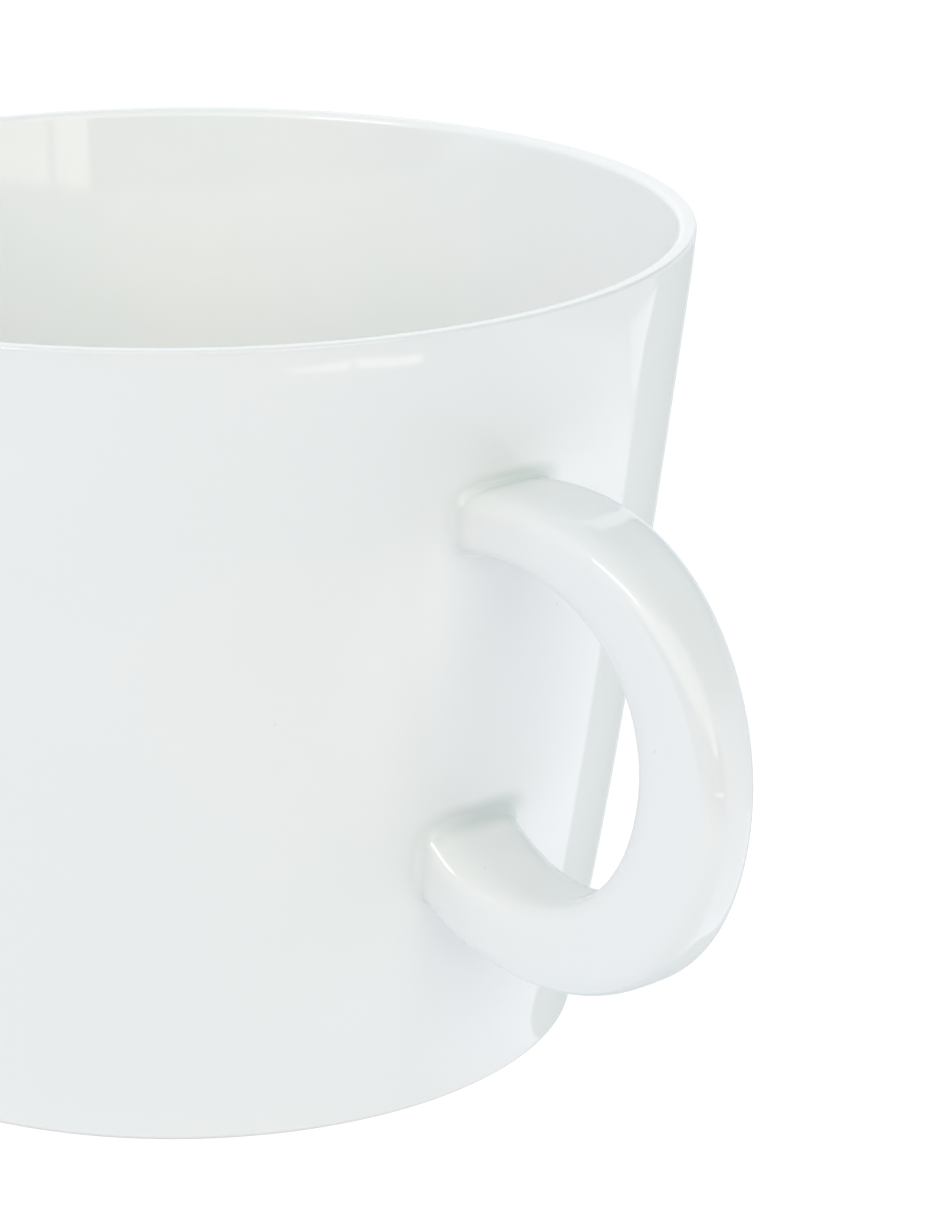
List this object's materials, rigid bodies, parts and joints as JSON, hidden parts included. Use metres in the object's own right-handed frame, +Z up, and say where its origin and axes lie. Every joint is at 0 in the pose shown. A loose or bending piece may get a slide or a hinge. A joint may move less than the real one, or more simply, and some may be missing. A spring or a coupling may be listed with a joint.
{
  "type": "coffee cup",
  "caption": "White glazed porcelain coffee cup with a flared wall, a low foot ring and a loop handle luted to its side, for hot drinks.",
  "frame": {"origin": "on the surface the cup stands on, at the middle of its overall length and width", "axes": "+X from the cup's axis out through the handle, +Z up out of the mouth"},
  "size_m": [0.1094, 0.0848, 0.0679],
  "materials": {
    "body_glaze": "smooth glossy white glaze",
    "handle_glaze": "smooth glossy white glaze",
    "joint_glaze": "smooth glossy white glaze over the slip"
  },
  "bodies": {
    "root": {"cup_body": "body_glaze", "handle": "handle_glaze", "upper_slip_joint": "joint_glaze", "lower_slip_joint": "joint_glaze"}
  },
  "joints": []
}
